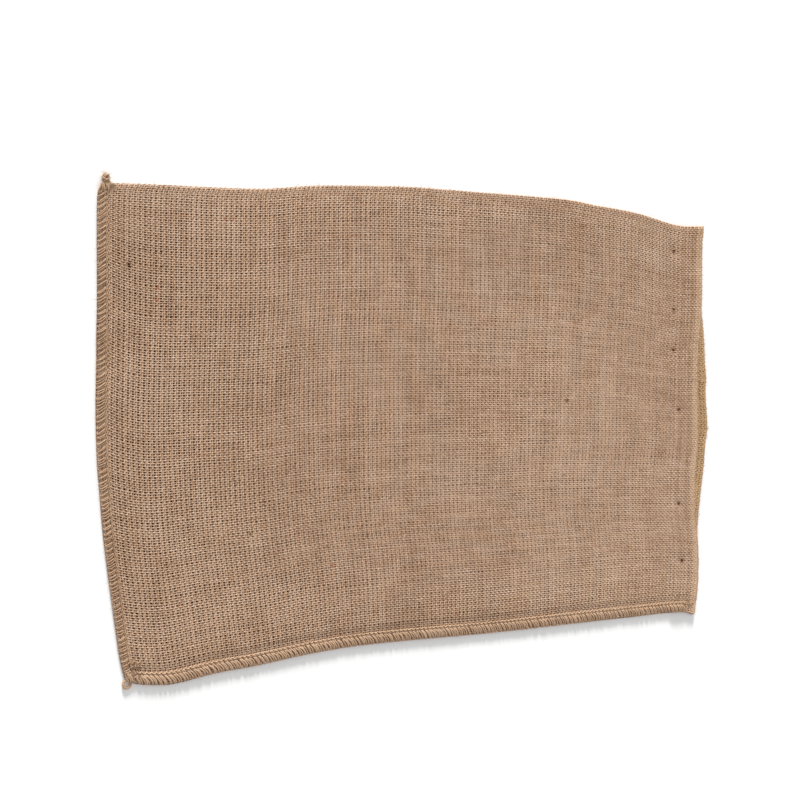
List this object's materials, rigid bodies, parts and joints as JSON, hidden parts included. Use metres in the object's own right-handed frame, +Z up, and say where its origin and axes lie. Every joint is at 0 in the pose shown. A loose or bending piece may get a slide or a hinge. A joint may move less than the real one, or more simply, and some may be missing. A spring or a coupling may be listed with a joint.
{
  "type": "jute sack",
  "caption": "Empty jute hessian sack lying flat: folded cloth, overlocked bottom and side seams, hemmed open mouth, knotted and looped thread ends at the bottom corners.",
  "frame": {"origin": "middle of the sack's box, on the surface it lies on", "axes": "+X along the sack from the closed bottom to the mouth, +Y from the side seam to the fold, +Z up through the front panel"},
  "size_m": [0.8098, 0.5246, 0.0069],
  "materials": {
    "jute_cloth": "coarse open plain weave, matt, slightly hairy",
    "jute_thread": "twisted jute sewing thread, matt"
  },
  "bodies": {
    "root": {"sack_cloth": "jute_cloth", "bottom_seam": "jute_thread", "side_seam": "jute_thread", "corner_knot": "jute_thread", "corner_loop": "jute_thread"}
  },
  "joints": []
}
